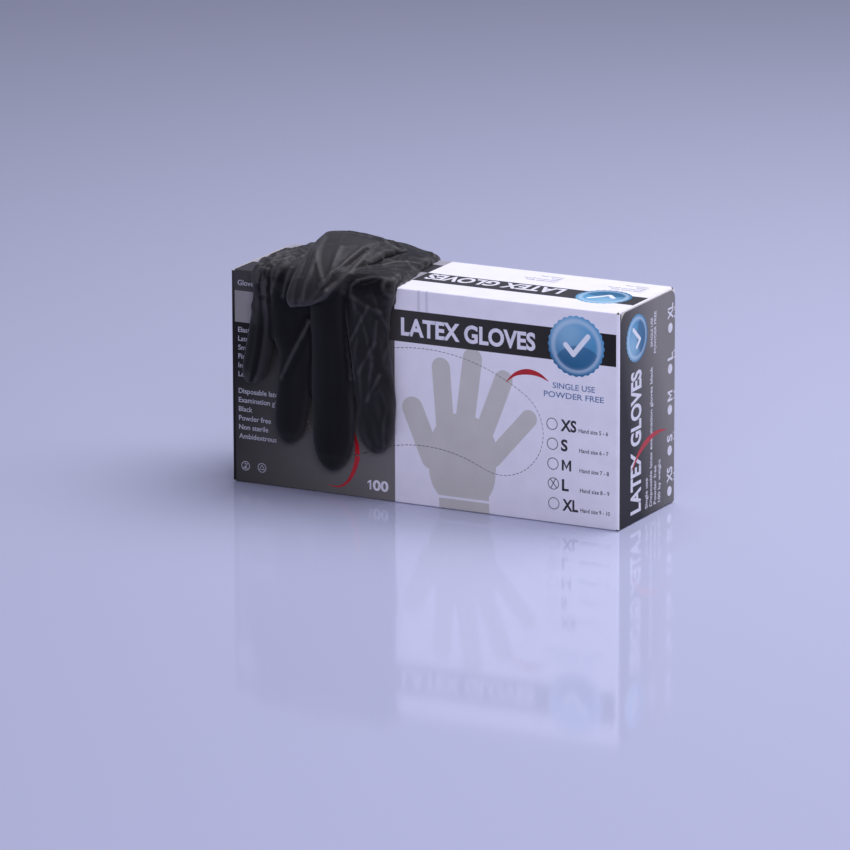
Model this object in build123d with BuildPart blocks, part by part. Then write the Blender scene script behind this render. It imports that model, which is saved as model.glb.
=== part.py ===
"""Dispenser carton of disposable gloves with one glove draped over it, in millimetres.

The origin is the centre of the carton's footprint, on the surface it stands on.
X runs along the carton, Y from its front to its back and Z up.
"""

from build123d import *
from math import atan2, degrees, hypot, radians
import os

os.makedirs("parts", exist_ok=True)

# ---- carton: overall sizes, board and folds -------------------------------------------
carton_length = 240.0
carton_depth = 71.0
carton_height = 122.0
board = 0.5  # folding boxboard
crease_radius = 0.8  # outside of a fold
glue_film = 0.15
crease_clearance = 0.1  # between a flap's crease and the edges beside it
edge_relief = 0.6  # how far a flap's edge stays inside the tube's outline

# ---- end flaps ------------------------------------------------------------------------
outer_flap_relief = 1.2  # the outer flap stops this far short of the rear edge
outer_flap_corner = 6.0
inner_flap_length = 42.0
inner_flap_corner = 8.0
dust_flap_length = 35.0
dust_flap_root_relief = 2.5
dust_flap_tip_relief = 8.0
end_glue_radius = 4.0
end_glue_rows = 3
end_glue_pitch = 38.0
end_glue_columns = 2
end_glue_column_pitch = 16.0

# ---- seam at the lower rear edge ------------------------------------------------------
glue_flap_height = 16.0
glue_flap_end_relief = 3.0
glue_flap_corner = 6.0
seam_glue_width = 8.0
seam_glue_end_relief = 6.0
rear_panel_foot_gap = 0.4

# ---- dispensing opening: two round lobes, an arched top and an arched notch below -----
lobe_offset = 48.0
lobe_height = 49.0
lobe_radius = 26.0
opening_top = 89.5
opening_notch = 34.0
perforation_cut = 0.35
tie_width = 0.8
tie_pitch = 2.6
tie_clearance = 0.02

# ---- gloves packed in the carton ------------------------------------------------------
head_space = 6.0  # between the front panel and the first glove
pack_clearance = 0.4
pack_end_clearance = 3.0
pack_top_clearance = 8.0
pack_corner = 9.0
first_glove_thickness = 1.2
bundle_count = 9
bundle_gap = 0.1

# ---- glove draped over the carton -----------------------------------------------------
drape_gap = 0.3  # between the glove and the board
glove_end_margin = 12.0  # from the carton's left end
glove_width = 92.0
hang_thickness = 8.0
fold_rise = 11.0  # how high the glove stands over the front and rear edges
finger_root_drop = 26.0  # below the carton's top, as are the other drops
finger_edge_radius = 2.5
wrist_drop = 42.0
wrist_inset = 7.0  # the cuff is narrower than the palm
bead_radius = 1.5
bead_corner = 3.9
thumb_thickness = 7.0

# ---- values worked out from the above -------------------------------------------------
half_length = carton_length / 2
half_depth = carton_depth / 2
layer = board + glue_film
hinge_setback = crease_radius + crease_clearance
outer_hinge_x = half_length - crease_radius
inner_hinge_x = half_length - layer - crease_radius
dust_hinge_x = half_length - 2 * layer - crease_radius
front_hinge_y = -half_depth + crease_radius
rear_hinge_y = half_depth - crease_radius
seam_hinge_y = half_depth - layer - crease_radius
front_panel_end = outer_hinge_x - hinge_setback
back_panel_end = inner_hinge_x - hinge_setback


def save(part, label):
    """Labels a finished piece and writes it as one STEP file."""
    part.label = label
    export_step(part, f"parts/{label}.step")


def fold_profile(corner_y, corner_z, turn_y, turn_z):
    """Draws the quarter ring of a fold on Plane.YZ, centred on (corner_y, corner_z)."""
    with Locations((corner_y, corner_z)):
        Circle(crease_radius)
        Circle(crease_radius - board, mode=Mode.SUBTRACT)
    middle = (corner_y + turn_y * crease_radius / 2, corner_z + turn_z * crease_radius / 2)
    with Locations(middle):
        Rectangle(crease_radius, crease_radius, mode=Mode.INTERSECT)


# ---- outline of the dispensing opening ------------------------------------------------
# The top arc holds both lobes inside it and the notch arc stands outside both, so the
# centre of each lies on the line of symmetry where its distance to a lobe's centre is
# the difference, or the sum, of the two radii.
lobe_distance = hypot(lobe_offset, lobe_height)
top_reach = opening_top - lobe_radius
top_centre = (lobe_distance**2 - top_reach**2) / (2 * (lobe_height - top_reach))
notch_reach = opening_notch + lobe_radius
notch_centre = (lobe_distance**2 - notch_reach**2) / (2 * (lobe_height - notch_reach))


def on_lobe_line(centre, radius):
    """Gives the point where an arc about (0, centre) touches the right-hand lobe."""
    towards_lobe = Vector(lobe_offset, lobe_height - centre).normalized()
    point = Vector(0, centre) + towards_lobe * radius
    return point.X, point.Y


top_x, top_z = on_lobe_line(top_centre, opening_top - top_centre)
notch_x, notch_z = on_lobe_line(notch_centre, opening_notch - notch_centre)
outermost = lobe_offset + lobe_radius
with BuildLine() as opening:
    ThreePointArc((-top_x, top_z), (0, opening_top), (top_x, top_z))
    ThreePointArc((top_x, top_z), (outermost, lobe_height), (notch_x, notch_z))
    ThreePointArc((notch_x, notch_z), (0, opening_notch), (-notch_x, notch_z))
    ThreePointArc((-notch_x, notch_z), (-outermost, lobe_height), (-top_x, top_z))


# ---- tube of four panels --------------------------------------------------------------
front_plane = Plane.XZ.offset(half_depth)
panel_height = carton_height - 2 * crease_radius

with BuildPart() as front_panel:
    with BuildSketch(front_plane):
        with Locations((0, carton_height / 2)):
            Rectangle(2 * front_panel_end, panel_height)
    extrude(amount=-board)
    with BuildSketch(front_plane):
        make_face(opening.edges())
    extrude(amount=-board, mode=Mode.SUBTRACT)
save(front_panel.part, "front_panel")

with BuildPart() as top_panel:
    with BuildSketch(Plane.XY.offset(carton_height)):
        Rectangle(2 * dust_hinge_x, carton_depth - 2 * crease_radius)
    extrude(amount=-board)
save(top_panel.part, "top_panel")

with BuildPart() as back_panel:
    with BuildSketch(Plane.XZ.offset(-half_depth)):
        back_top = carton_height - crease_radius
        with Locations((0, (rear_panel_foot_gap + back_top) / 2)):
            Rectangle(2 * back_panel_end, back_top - rear_panel_foot_gap)
    extrude(amount=board)
save(back_panel.part, "back_panel")

with BuildPart() as bottom_panel:
    with BuildSketch(Plane.XY):
        with Locations((0, (front_hinge_y + seam_hinge_y) / 2)):
            Rectangle(2 * dust_hinge_x, seam_hinge_y - front_hinge_y)
    extrude(amount=board)
save(bottom_panel.part, "bottom_panel")

with BuildPart() as glue_flap:
    glue_flap_half = dust_hinge_x - glue_flap_end_relief
    with BuildSketch(Plane.XZ.offset(-(half_depth - layer))):
        Polygon(
            (-glue_flap_half, crease_radius),
            (glue_flap_half, crease_radius),
            (glue_flap_half - glue_flap_corner, glue_flap_height),
            (-glue_flap_half + glue_flap_corner, glue_flap_height),
            align=None,
        )
    extrude(amount=board)
save(glue_flap.part, "glue_flap")

with BuildPart() as seam_glue:
    with BuildSketch(Plane.XZ.offset(-half_depth + board)):
        with Locations((0, (crease_radius + glue_flap_height) / 2)):
            seam_length = 2 * (glue_flap_half - glue_flap_corner - seam_glue_end_relief)
            Rectangle(seam_length, seam_glue_width)
    extrude(amount=glue_film)
save(seam_glue.part, "seam_glue")

tube_creases = {
    "front_top_crease": (front_hinge_y, carton_height - crease_radius, -1, 1),
    "rear_top_crease": (rear_hinge_y, carton_height - crease_radius, 1, 1),
    "front_bottom_crease": (front_hinge_y, crease_radius, -1, -1),
    "seam_crease": (seam_hinge_y, crease_radius, 1, -1),
}
for crease_name, corner in tube_creases.items():
    crease_half = glue_flap_half if crease_name == "seam_crease" else dust_hinge_x
    with BuildPart() as tube_crease:
        with BuildSketch(Plane.YZ):
            fold_profile(*corner)
        extrude(amount=crease_half, both=True)
    save(tube_crease.part, crease_name)

# ---- flaps that close the two ends ----------------------------------------------------
flap_middle = carton_height / 2
for side, hand in (("left", -1), ("right", 1)):
    # The outer flap folds about the front panel's end and covers the whole end.
    with BuildPart() as outer_flap:
        with BuildSketch(Plane.YZ.offset(hand * half_length)):
            root_y = front_hinge_y + hinge_setback
            tip_y = half_depth - outer_flap_relief
            with Locations(((root_y + tip_y) / 2, flap_middle)):
                blank = Rectangle(tip_y - root_y, carton_height - 2 * edge_relief)
            fillet(blank.vertices().group_by(Axis.Y)[-1], outer_flap_corner)
        extrude(amount=-hand * board)
    save(outer_flap.part, f"{side}_outer_flap")

    # The inner flap folds about the back panel's end, one layer further in.
    with BuildPart() as inner_flap:
        with BuildSketch(Plane.YZ.offset(hand * (half_length - layer))):
            root_y = rear_hinge_y - hinge_setback
            tip_y = rear_hinge_y - inner_flap_length
            with Locations(((root_y + tip_y) / 2, flap_middle)):
                blank = Rectangle(root_y - tip_y, carton_height - 4 * edge_relief)
            fillet(blank.vertices().group_by(Axis.Y)[0], inner_flap_corner)
        extrude(amount=-hand * board)
    save(inner_flap.part, f"{side}_inner_flap")

    # Each of these two folds is a scored line, round about its own turning axis.
    creases = {
        f"{side}_outer_flap_crease": (hand * outer_hinge_x, front_hinge_y),
        f"{side}_inner_flap_crease": (hand * inner_hinge_x, rear_hinge_y),
    }
    for crease_name, axis_xy in creases.items():
        with BuildPart() as flap_crease:
            with BuildSketch(Plane.XY.offset(2 * edge_relief)):
                with Locations(axis_xy):
                    Circle(crease_radius)
            extrude(amount=carton_height - 4 * edge_relief)
        save(flap_crease.part, crease_name)

    # Dabs of hot melt hold the outer flap on the inner one.
    with BuildPart() as end_glue:
        with BuildSketch(Plane.YZ.offset(hand * (half_length - board))):
            glue_middle_y = rear_hinge_y - inner_flap_length / 2
            with Locations((glue_middle_y, flap_middle)):
                with GridLocations(
                    end_glue_column_pitch, end_glue_pitch, end_glue_columns, end_glue_rows
                ):
                    Circle(end_glue_radius)
        extrude(amount=-hand * glue_film)
    save(end_glue.part, f"{side}_end_glue")

    # A dust flap folds down from the top panel and another up from the bottom panel.
    for level, flap_end_z, away in (("top", carton_height, -1), ("bottom", 0.0, 1)):
        crease_z = flap_end_z + away * crease_radius
        tip_z = flap_end_z + away * dust_flap_length
        root_half = half_depth - dust_flap_root_relief
        tip_half = half_depth - dust_flap_tip_relief
        with BuildPart() as dust_flap:
            with BuildSketch(Plane.YZ.offset(hand * (half_length - 2 * layer))):
                Polygon(
                    (-root_half, crease_z),
                    (root_half, crease_z),
                    (tip_half, tip_z),
                    (-tip_half, tip_z),
                    align=None,
                )
            extrude(amount=-hand * board)
            with BuildSketch(Plane.XZ):
                with Locations((hand * dust_hinge_x, crease_z)):
                    Circle(crease_radius)
                    Circle(crease_radius - board, mode=Mode.SUBTRACT)
                half_fold = crease_radius / 2
                fold_middle = (hand * (dust_hinge_x + half_fold), crease_z - away * half_fold)
                with Locations(fold_middle):
                    Rectangle(crease_radius, crease_radius, mode=Mode.INTERSECT)
            extrude(amount=root_half, both=True)
        save(dust_flap.part, f"{side}_{level}_dust_flap")

# ---- tear-out panel, held in the opening by the uncut ties of the perforation ---------
top_angle = degrees(atan2(lobe_height - top_centre, lobe_offset))
notch_angle = degrees(atan2(lobe_height - notch_centre, lobe_offset))
lobe_sweep = 180 + top_angle - notch_angle
opening_arcs = [  # centre, radius, first angle and sweep, anticlockwise
    ((0, top_centre), opening_top - top_centre, top_angle, 180 - 2 * top_angle),
    ((0, notch_centre), opening_notch - notch_centre, notch_angle, 180 - 2 * notch_angle),
    ((lobe_offset, lobe_height), lobe_radius, notch_angle - 180, lobe_sweep),
    ((-lobe_offset, lobe_height), lobe_radius, 180 - top_angle, lobe_sweep),
]

with BuildSketch() as tie_limit:
    make_face(opening.edges())
    offset(amount=-tie_clearance, mode=Mode.REPLACE)

with BuildPart() as tear_panel:
    with BuildSketch(front_plane):
        make_face(opening.edges())
        offset(amount=-perforation_cut, mode=Mode.REPLACE)
        for arc_centre, arc_radius, first_angle, sweep in opening_arcs:
            tie_count = round(arc_radius * radians(sweep) / tie_pitch)
            with Locations(arc_centre):
                with PolarLocations(arc_radius, tie_count, first_angle, sweep):
                    Rectangle(3 * perforation_cut, tie_width)
        add(tie_limit.sketch, mode=Mode.INTERSECT)
    extrude(amount=-board)
save(tear_panel.part, "tear_panel")

# ---- gloves packed flat behind the opening --------------------------------------------
pack_front = -half_depth + board + head_space
pack_rear = half_depth - layer - board - pack_clearance
pack_half_length = dust_hinge_x - board - pack_end_clearance
pack_bottom = board + pack_clearance
pack_height = carton_height - board - pack_top_clearance - pack_bottom
pack_middle = (0, pack_bottom + pack_height / 2)

with BuildPart() as first_glove:
    with BuildSketch(Plane.XZ.offset(-pack_front)):
        with Locations(pack_middle):
            RectangleRounded(2 * pack_half_length, pack_height, pack_corner)
    extrude(amount=-first_glove_thickness)
save(first_glove.part, "first_glove")

with BuildPart() as glove_stack:
    bundles_front = pack_front + first_glove_thickness + bundle_gap
    bundle_pitch = (pack_rear - bundles_front + bundle_gap) / bundle_count
    for bundle in range(bundle_count):
        with BuildSketch(Plane.XZ.offset(-bundles_front - bundle * bundle_pitch)):
            with Locations(pack_middle):
                RectangleRounded(2 * pack_half_length, pack_height, pack_corner)
        extrude(amount=-(bundle_pitch - bundle_gap))
save(glove_stack.part, "glove_stack")

# ---- draped glove: palm over the top, fingers down the front, cuff down the back ------
drape_z = carton_height + drape_gap
glove_left = -half_length + glove_end_margin
glove_right = glove_left + glove_width
finger_root = carton_height - finger_root_drop
wrist_bottom = carton_height - wrist_drop
drape_front = -half_depth - drape_gap
drape_rear = half_depth + drape_gap
hang_front = drape_front - hang_thickness
hang_rear = drape_rear + hang_thickness
palm_half_depth = half_depth - 2.0
palm_ridge = [  # (share of the glove's width from its left edge, height over the board)
    (0.0, 0.0),
    (0.05, 4.0),
    (0.18, 13.0),
    (0.28, 17.5),
    (0.48, 20.0),
    (0.67, 20.0),
    (0.82, 15.5),
    (0.95, 6.0),
    (1.0, 0.0),
]

with BuildPart() as glove_palm:
    with BuildSketch(Plane.XZ.offset(palm_half_depth)):
        ridge_points = [
            (glove_left + share * glove_width, drape_z + height)
            for share, height in palm_ridge
        ]
        Polygon(*ridge_points, align=None)
    extrude(amount=-2 * palm_half_depth)
save(glove_palm.part, "glove_palm")


def hanging_fold(near, edge, outer, bottom):
    """Draws on Plane.YZ the glove's bend over one top edge of the carton."""
    Polygon(
        (near, drape_z),
        (near, drape_z + fold_rise),
        ((edge + outer) / 2, drape_z + fold_rise * 0.7),
        (outer, drape_z),
        (outer, bottom),
        (edge, bottom),
        (edge, drape_z),
        align=None,
    )


with BuildPart() as glove_knuckles:
    with BuildSketch(Plane.YZ.offset(glove_left)):
        hanging_fold(-palm_half_depth, drape_front, hang_front, finger_root)
    extrude(amount=glove_width)
save(glove_knuckles.part, "glove_knuckles")

with BuildPart() as glove_cuff:
    with BuildSketch(Plane.YZ.offset(glove_left + wrist_inset)):
        hanging_fold(palm_half_depth, drape_rear, hang_rear, wrist_bottom)
    extrude(amount=glove_width - 2 * wrist_inset)
save(glove_cuff.part, "glove_cuff")

with BuildPart() as cuff_bead:
    with BuildSketch(Plane.XY.offset(wrist_bottom)):
        bead_middle = ((glove_left + glove_right) / 2, (drape_rear + hang_rear) / 2)
        with Locations(bead_middle):
            bead_length = glove_width - 2 * wrist_inset
            RectangleRounded(bead_length, hang_thickness, bead_corner)
    extrude(amount=-2 * bead_radius)
save(cuff_bead.part, "cuff_bead")

# Each finger: its root and its tip, as distance from the glove's left edge, drop and radius.
# A root's drop is that of all the fingers, and a tip's drop is to its very end.
fingers = {
    "little_finger": ((8.5, 7.5), (4.5, 63.3, 8.0)),
    "ring_finger": ((29.0, 8.5), (28.0, 94.8, 9.5)),
    "middle_finger": ((52.5, 10.5), (56.0, 106.3, 13.5)),
    "index_finger": ((78.0, 12.0), (81.0, 94.1, 12.0)),
}
for finger_name, (root, tip) in fingers.items():
    root_offset, root_half = root
    tip_offset, tip_drop, tip_radius = tip
    root_x = glove_left + root_offset
    with BuildPart() as finger:
        with BuildSketch(Plane.XZ.offset(-drape_front)):
            tip_z = carton_height - tip_drop + tip_radius
            with Locations((glove_left + tip_offset, tip_z)):
                Circle(tip_radius)
            with Locations((root_x, finger_root - root_half)):
                Circle(root_half)
            make_hull()
            with Locations((root_x, finger_root - root_half / 2)):
                Rectangle(2 * root_half, root_half)
        extrude(amount=hang_thickness)
        front_edges = finger.faces().sort_by(Axis.Y)[0].edges()
        fillet(front_edges, finger_edge_radius)
    save(finger.part, finger_name)

# The thumb's tip and root, given as the fingers' ends are but to their centres.
thumb_ends = [(33.0, 9.0, 8.0), (50.0, -4.0, 9.5)]

with BuildPart() as thumb:
    with BuildSketch(Plane.XZ.offset(-hang_front + drape_gap)):
        for offset_x, drop, radius in thumb_ends:
            with Locations((glove_left + offset_x, carton_height - drop)):
                Circle(radius)
        make_hull()
    extrude(amount=thumb_thickness)
    fillet(thumb.faces().sort_by(Axis.Y)[0].edges(), finger_edge_radius)
save(thumb.part, "thumb")
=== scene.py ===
"""A carton of disposable gloves with one black latex glove draped over it.

Everything is in metres in the model's own frame: X along the carton, Y from its front to
its back and Z up, with the origin under the middle of the carton.
"""

import math

import bpy
import numpy as np
from mathutils import Matrix, Vector


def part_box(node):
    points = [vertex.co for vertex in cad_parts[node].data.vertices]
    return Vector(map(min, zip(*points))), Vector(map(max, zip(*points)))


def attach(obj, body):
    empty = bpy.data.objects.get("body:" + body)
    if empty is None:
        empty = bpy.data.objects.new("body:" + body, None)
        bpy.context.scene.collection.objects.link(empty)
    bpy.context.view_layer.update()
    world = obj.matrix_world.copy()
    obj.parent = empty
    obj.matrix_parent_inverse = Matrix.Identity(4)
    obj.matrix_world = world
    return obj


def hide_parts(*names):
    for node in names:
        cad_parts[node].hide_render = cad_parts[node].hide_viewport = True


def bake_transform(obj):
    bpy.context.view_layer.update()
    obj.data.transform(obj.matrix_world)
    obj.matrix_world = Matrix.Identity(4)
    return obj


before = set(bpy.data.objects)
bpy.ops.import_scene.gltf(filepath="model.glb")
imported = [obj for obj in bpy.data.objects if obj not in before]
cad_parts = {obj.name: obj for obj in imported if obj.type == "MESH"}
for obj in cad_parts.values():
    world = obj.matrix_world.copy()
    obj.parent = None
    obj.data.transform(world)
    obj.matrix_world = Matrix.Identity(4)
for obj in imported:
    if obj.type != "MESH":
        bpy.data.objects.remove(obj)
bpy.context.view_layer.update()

# ---------------------------------------------------------------------------------------
# Carton: folding boxboard, grey on its inside and coated white on its outside, which is
# offset printed in greys and sealed with a satin varnish. The tube of four panels is one
# board, and the inks run on round its folds.
# ---------------------------------------------------------------------------------------
MM = 0.001
front_low, front_high = (Vector(corner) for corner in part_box("front_panel"))
front_y = front_low.y
rear_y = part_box("back_panel")[1][1]
top_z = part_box("top_panel")[1][2]
end_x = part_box("right_outer_flap")[1][0]

# Places in the printed design, in mm from the middle of the carton's foot.
ink_split = -17.6  # where the dark half meets the white half
band_low, band_high = 92.0, 110.0  # the stripe that carries the heading


def linear(hex_colour):
    """Turns an sRGB hex colour into linear red, green, blue and full alpha."""
    channels = [int(hex_colour[i : i + 2], 16) / 255 for i in (1, 3, 5)]
    curve = [c / 12.92 if c <= 0.04045 else ((c + 0.055) / 1.055) ** 2.4 for c in channels]
    return (*curve, 1.0)


def add(tree, kind, inputs=(), output=0, **settings):
    """Adds a shader node with its settings and inputs, and gives one of its outputs.

    An input is a value or another node's output, by its socket's name or number.
    """
    made = tree.nodes.new("ShaderNode" + kind)
    for name, value in settings.items():
        setattr(made, name, value)
    for key, value in inputs.items() if isinstance(inputs, dict) else enumerate(inputs):
        if isinstance(value, bpy.types.NodeSocket):
            tree.links.new(value, made.inputs[key])
        else:
            made.inputs[key].default_value = value
    return made.outputs[output] if len(made.outputs) else None


def new_material(name):
    """Makes an empty node material and gives it with its tree."""
    material = bpy.data.materials.new(name)
    material.use_nodes = True
    material.node_tree.nodes.clear()
    return material, material.node_tree


def beyond(tree, value, edge, soft=0.12):
    """Mask of the points where a value is past an edge, ramped over a short way."""
    return add(tree, "MapRange", [value, edge - soft, edge + soft, 0.0, 1.0])


def within(tree, value, limit, soft):
    """Mask of the points where a value is under a limit, with a softened edge."""
    fall = [value, limit - soft, limit + soft, 1.0, 0.0]
    return add(tree, "MapRange", fall, interpolation_type="SMOOTHSTEP")


def between(tree, value, low, high, soft=0.12):
    """Mask of the stretch from low to high, with edges softened over a short way."""
    rise = [value, low - soft, low + soft, 0.0, 1.0]
    up = add(tree, "MapRange", rise, interpolation_type="SMOOTHSTEP")
    return add(tree, "Math", [up, within(tree, value, high, soft)], operation="MULTIPLY")


def stadium(tree, place, start, end, radius, soft=0.25):
    """Mask of the points within a radius of the straight line from start to end.

    The nearest point on the line is its start plus the share of its run that the point's
    dot product with the run gives, held between none and all of it.
    """
    run = (end[0] - start[0], end[1] - start[1], 0.0)
    size = run[0] ** 2 + run[1] ** 2
    from_start = add(tree, "VectorMath", [place, (*start, 0.0)], operation="SUBTRACT")
    weights = (run[0] / size, run[1] / size, 0.0)
    share = add(tree, "VectorMath", [from_start, weights], output=1, operation="DOT_PRODUCT")
    held = add(tree, "Clamp", [share, 0.0, 1.0])
    along = add(tree, "VectorMath", {0: run, "Scale": held}, operation="SCALE")
    away = add(tree, "VectorMath", [from_start, along], output=1, operation="DISTANCE")
    return within(tree, away, radius, soft)


def either(tree, masks):
    """Mask of all the points that any of the masks holds."""
    whole = masks[0]
    for mask in masks[1:]:
        whole = add(tree, "Math", [whole, mask], operation="MAXIMUM")
    return whole


def ink(tree, under, mask, colour):
    """Prints a colour over the one under it, as far as the mask says."""
    over = colour if isinstance(colour, bpy.types.NodeSocket) else linear(colour)
    return add(tree, "Mix", {0: mask, 6: under, 7: over}, output=2, data_type="RGBA")


def fade(tree, value, low, high, first, last):
    """Colour that goes from first to last as the value goes from low to high."""
    share = add(tree, "MapRange", [value, low, high, 0.0, 1.0])
    return ink(tree, linear(first), share, last)


coated_white = "#F3F2F6"


def design_for_long_panel(tree, u, v, place):
    """Inks of the front and back: dark on the left, white on the right, with a stripe.

    u runs along the panel and v up it, in mm. Over the white half lies a large pale
    silhouette of a hand, made of stadiums: its five fingers, its palm and its wrist.
    """
    slant = add(tree, "Math", [v, -0.55, u], operation="MULTIPLY_ADD")
    dark_half = fade(tree, slant, -155.0, -12.0, "#151412", "#7E7B75")
    stripe = between(tree, v, band_low, band_high)
    top_strip = between(tree, v, band_high, 130.0)
    light_stripe = fade(tree, u, -120.0, -20.0, "#8C8884", "#D6D6DA")
    dark_stripe = fade(tree, u, ink_split, 120.0, "#403E3B", "#211F1E")

    left = ink(tree, dark_half, top_strip, "#444240")
    stripe_turn = beyond(tree, u, ink_split - 6.0, soft=0.1)
    left = ink(tree, left, stripe, ink(tree, light_stripe, stripe_turn, dark_stripe))

    hand_parts = [
        ((5.0, 28.0), (-6.5, 55.0), 6.5),
        ((14.0, 42.0), (11.0, 80.0), 5.6),
        ((25.0, 44.0), (30.5, 87.0), 5.9),
        ((36.0, 42.0), (49.5, 77.0), 5.6),
        ((43.0, 32.0), (65.0, 57.0), 5.0),
        ((24.0, 22.0), (25.0, 35.0), 20.5),
        ((26.0, -20.0), (25.0, 12.0), 15.5),
    ]
    hand = either(tree, [stadium(tree, place, *part) for part in hand_parts])
    cuff_line = between(tree, v, 6.0, 7.4)
    hand = add(tree, "Math", [hand, cuff_line], operation="SUBTRACT", use_clamp=True)
    white = ink(tree, linear(coated_white), hand, "#D0CEC4")
    lines = either(tree, [between(tree, u, x, x + 1.6, soft=0.5) for x in (-3.5, 1.5)])
    lines = add(tree, "Math", [lines, top_strip], operation="MULTIPLY")
    white = ink(tree, white, lines, "#DCDCE2")
    right = ink(tree, white, stripe, dark_stripe)
    return ink(tree, left, beyond(tree, u, ink_split), right)


def design_for_top(tree, u, v, place):
    """Inks of the top: dark on the left, white on the right, with the stripe on both."""
    stripe = between(tree, v, -14.6, 4.8)
    left = ink(tree, linear("#3A393C"), stripe, "#A3A2A8")
    left = ink(tree, left, between(tree, v, 24.0, 60.0), "#A3A2A8")
    right = ink(tree, linear(coated_white), stripe, "#3B3A3C")
    return ink(tree, left, beyond(tree, u, ink_split), right)


def design_for_end_with_painted_reflection(tree, u, v, place):
    """An end: charcoal ink at front and foot, fading to grey at back and top, a painted
    reflection.
    """
    slant = add(tree, "Math", [v, 0.3, u], operation="MULTIPLY_ADD")
    return fade(tree, slant, -8.0, 45.0, "#131210", "#86827D")


def design_for_base(tree, u, v, place):
    """Inks of the bottom: plain white with one charcoal stripe."""
    return ink(tree, linear(coated_white), between(tree, v, -11.0, 11.0), "#6A696D")


def design_for_inner_flap(tree, u, v, place):
    """No ink: the coated white of the board, which shows on flaps that stay inside."""
    return ink(tree, linear(coated_white), 0.0, coated_white)


def printed_board(name, design, along, up, outward):
    """Boxboard whose coated face, the one towards outward, carries a printed design.

    along and up are the object's axes, with a sign, that run along the design and up it.
    Coated board is smooth with a satin varnish; its back and its cut edges are matt grey
    fibre, lighter and darker in flecks.
    """
    material, tree = new_material(name)
    coordinates = add(tree, "TexCoord", output=3)
    normal = add(tree, "TexCoord", output=1)
    millimetres = add(tree, "VectorMath", {0: coordinates, "Scale": 1 / MM}, operation="SCALE")
    u = add(tree, "VectorMath", [millimetres, along], output=1, operation="DOT_PRODUCT")
    v = add(tree, "VectorMath", [millimetres, up], output=1, operation="DOT_PRODUCT")
    place = add(tree, "CombineXYZ", [u, v, 0.0])
    facing = add(tree, "VectorMath", [normal, outward], output=1, operation="DOT_PRODUCT")
    coated = add(tree, "MapRange", [facing, 0.3, 0.4, 0.0, 1.0])

    mottle = add(tree, "TexNoise", {"Vector": millimetres, "Scale": 0.09, "Detail": 4.0})
    fibres = add(tree, "TexNoise", {"Vector": millimetres, "Scale": 2.2, "Detail": 6.0})
    shade = add(tree, "MapRange", [mottle, 0.3, 0.7, 0.94, 1.0])
    inks = {0: design(tree, u, v, place), "Scale": shade}
    inked = add(tree, "VectorMath", inks, operation="SCALE")
    grey_back = ink(tree, linear("#A8A299"), fibres, "#CDC8BE")
    colour = ink(tree, grey_back, coated, inked)
    rough = add(tree, "MapRange", [coated, 0.0, 1.0, 0.85, 0.34])

    relief = add(tree, "MapRange", [coated, 0.0, 1.0, 0.06, 0.012])
    sag = add(tree, "Math", [mottle, 6.0], operation="MULTIPLY")
    height = add(tree, "Math", [fibres, sag], operation="ADD")
    bump = add(tree, "Bump", {"Strength": relief, "Distance": MM, "Height": height})
    varnish = {"Base Color": colour, "Roughness": rough, "IOR": 1.32, "Normal": bump}
    add(tree, "OutputMaterial", {"Surface": add(tree, "BsdfPrincipled", varnish)})
    return material


def dress(node_name, material):
    """Gives a node of the frame its material, on all its faces."""
    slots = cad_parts[node_name].data.materials
    slots.clear()
    slots.append(material)


x_axis, y_axis, z_axis = (1, 0, 0), (0, 1, 0), (0, 0, 1)
leftwards, forwards, downwards = (-1, 0, 0), (0, -1, 0), (0, 0, -1)
inner_flaps = ("inner_flap", "top_dust_flap", "bottom_dust_flap")
left_flaps = [f"left_{flap}" for flap in inner_flaps]
right_flaps = [f"right_{flap}" for flap in inner_flaps]
long_panel, top, base = design_for_long_panel, design_for_top, design_for_base
end, inside = design_for_end_with_painted_reflection, design_for_inner_flap

# A board's design, the axes along it and up it, the way it faces, and the nodes it covers.
board_plans = {
    "printed_front": (long_panel, x_axis, z_axis, forwards, ["front_panel", "tear_panel"]),
    "printed_back": (long_panel, leftwards, z_axis, y_axis, ["back_panel"]),
    "printed_top": (top, x_axis, y_axis, z_axis, ["top_panel"]),
    "printed_base": (base, x_axis, y_axis, downwards, ["bottom_panel"]),
    "printed_front_fold": (long_panel, x_axis, z_axis, (0, -0.7, 0.7), ["front_top_crease"]),
    "printed_rear_fold": (long_panel, leftwards, z_axis, (0, 0.7, 0.7), ["rear_top_crease"]),
    "printed_foot_fold": (long_panel, x_axis, z_axis, (0, -0.7, -0.7), ["front_bottom_crease"]),
    "seam_fold": (base, x_axis, y_axis, (0, 0.7, -0.7), ["seam_crease"]),
    "unprinted_flap": (base, x_axis, z_axis, y_axis, ["glue_flap"]),
    # On the ends the charcoal ink fades to grey towards the back and top: a painted reflection.
    "left_end_ink_and_painted_reflection": (end, y_axis, z_axis, leftwards, ["left_outer_flap"]),
    "right_end_ink_and_painted_reflection": (end, y_axis, z_axis, x_axis, ["right_outer_flap"]),
    "white_left_flap": (inside, y_axis, z_axis, leftwards, left_flaps),
    "white_right_flap": (inside, y_axis, z_axis, x_axis, right_flaps),
}
boards = {}
for name, (design, along, up, outward, node_names) in board_plans.items():
    boards[name] = printed_board(name, design, along, up, outward)
    for node_name in node_names:
        dress(node_name, boards[name])

# ---------------------------------------------------------------------------------------
# Flap folds: the same board, scored on the die and bent round a quarter turn. Each strip
# joins a panel's end to its flap.
# ---------------------------------------------------------------------------------------
crease_low, crease_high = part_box("right_outer_flap_crease")
fold_radius = (crease_high[0] - crease_low[0]) / 2
fold_setback = abs(crease_low[0] + fold_radius - front_high.x)
board_thickness = front_high.y - front_low.y


def design_for_fold(tree, u, v, place):
    """The right fold at the front: the white of the front panel worn to bare board."""
    turned = add(tree, "MapRange", [u, -34.98, -34.9, 0.0, 1.0])
    return ink(tree, linear("#FAF9FC"), turned, "#2A292B")


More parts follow.
